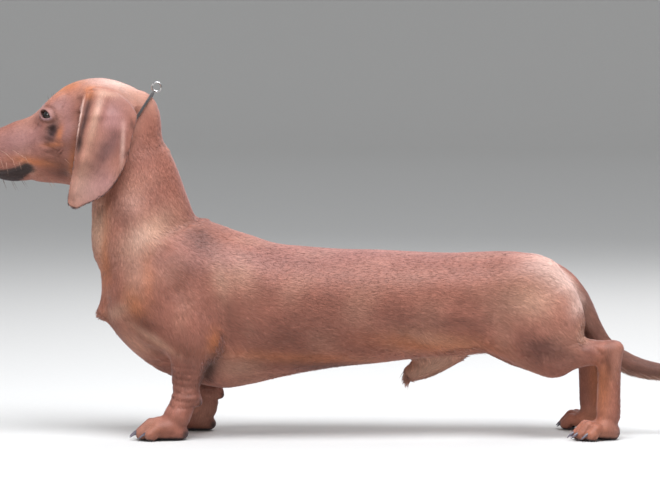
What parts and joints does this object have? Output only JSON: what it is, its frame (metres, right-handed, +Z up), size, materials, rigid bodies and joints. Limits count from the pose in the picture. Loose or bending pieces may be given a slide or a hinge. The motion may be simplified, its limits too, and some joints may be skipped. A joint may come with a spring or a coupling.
{
  "type": "dachshund model",
  "caption": "Life-size still model of a smooth-haired red dachshund standing in profile, with drop ears, a long body, short legs and a thin slip collar.",
  "frame": {"origin": "centre of the ground under the model, level with the soles of its feet", "axes": "+Z up, -X towards the nose and +X towards the tail, -Y the dog's left side"},
  "size_m": [0.7953, 0.1496, 0.3648],
  "materials": {
    "red_coat": "matte",
    "claw_horn": "satin",
    "nose_leather": "satin",
    "dark_eye": "polished",
    "collar_cord": "matte",
    "ring_metal": "polished"
  },
  "bodies": {
    "root": {"chest": "red_coat", "claw_front_left_1": "claw_horn", "claw_front_left_2": "claw_horn", "claw_front_left_3": "claw_horn", "claw_front_left_4": "claw_horn", "claw_front_right_1": "claw_horn", "claw_front_right_2": "claw_horn", "claw_front_right_3": "claw_horn", "claw_front_right_4": "claw_horn", "claw_hind_left_1": "claw_horn", "claw_hind_left_2": "claw_horn", "claw_hind_left_3": "claw_horn", "claw_hind_left_4": "claw_horn", "claw_hind_right_1": "claw_horn", "claw_hind_right_2": "claw_horn", "claw_hind_right_3": "claw_horn", "claw_hind_right_4": "claw_horn", "collar": "collar_cord", "collar_ring": "ring_metal", "croup": "red_coat", "dewclaw_left": "claw_horn", "dewclaw_right": "claw_horn", "ear_left": "red_coat", "ear_right": "red_coat", "eye_left": "dark_eye", "eye_right": "dark_eye", "forearm_left": "red_coat", "forearm_right": "red_coat", "front_paw_left": "red_coat", "front_paw_right": "red_coat", "head": "red_coat", "hind_paw_left": "red_coat", "hind_paw_right": "red_coat", "hock_left": "red_coat", "hock_right": "red_coat", "loin": "red_coat", "lower_leg_left": "red_coat", "lower_leg_right": "red_coat", "neck": "red_coat", "nose": "nose_leather", "sheath": "red_coat", "tail_middle": "red_coat", "tail_root": "red_coat", "tail_tip": "red_coat", "thigh_left": "red_coat", "thigh_right": "red_coat", "upper_arm_left": "red_coat", "upper_arm_right": "red_coat"}
  },
  "joints": []
}
